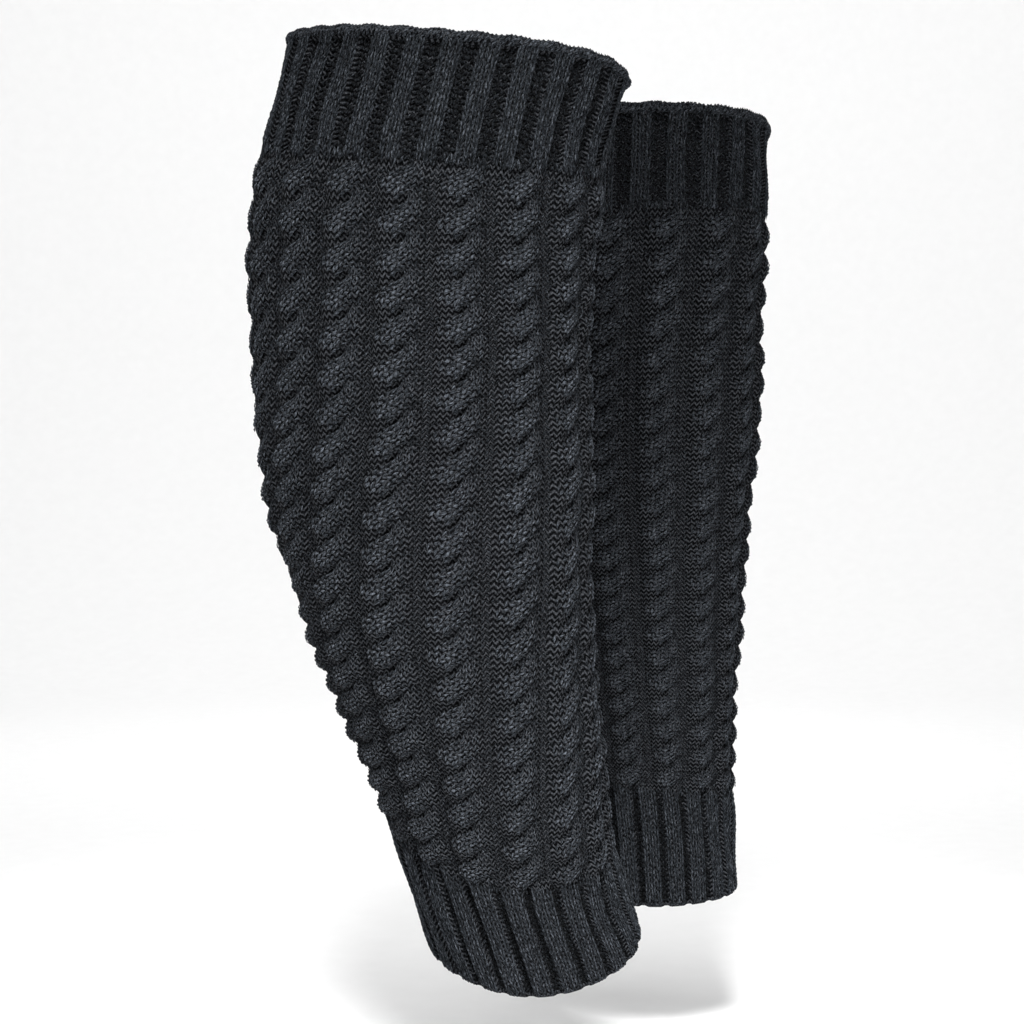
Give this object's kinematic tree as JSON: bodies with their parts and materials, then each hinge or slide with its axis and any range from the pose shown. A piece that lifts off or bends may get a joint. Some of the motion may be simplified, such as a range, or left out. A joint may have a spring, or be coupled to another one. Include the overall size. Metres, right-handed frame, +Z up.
{
  "type": "pair of knitted leg warmers",
  "caption": "Pair of cable-knit tubes for the lower legs, wide over the calf and narrow at the ankle, open at both ends, with a ribbed cuff at each end.",
  "frame": {"origin": "middle of the right leg warmer's top opening, where the wearer's leg goes in and holds it up", "axes": "+Z up along the legs, towards the knee; the wearer faces -Y; +X is towards the wearer's left, with the left leg warmer on that side"},
  "size_m": [0.3332, 0.1632, 0.4126],
  "materials": {
    "knit": "matte charcoal-black knitted yarn"
  },
  "bodies": {
    "root": {"right_top_cuff": "knit", "right_body": "knit", "right_bottom_cuff": "knit", "left_top_cuff": "knit", "left_body": "knit", "left_bottom_cuff": "knit"}
  },
  "joints": []
}
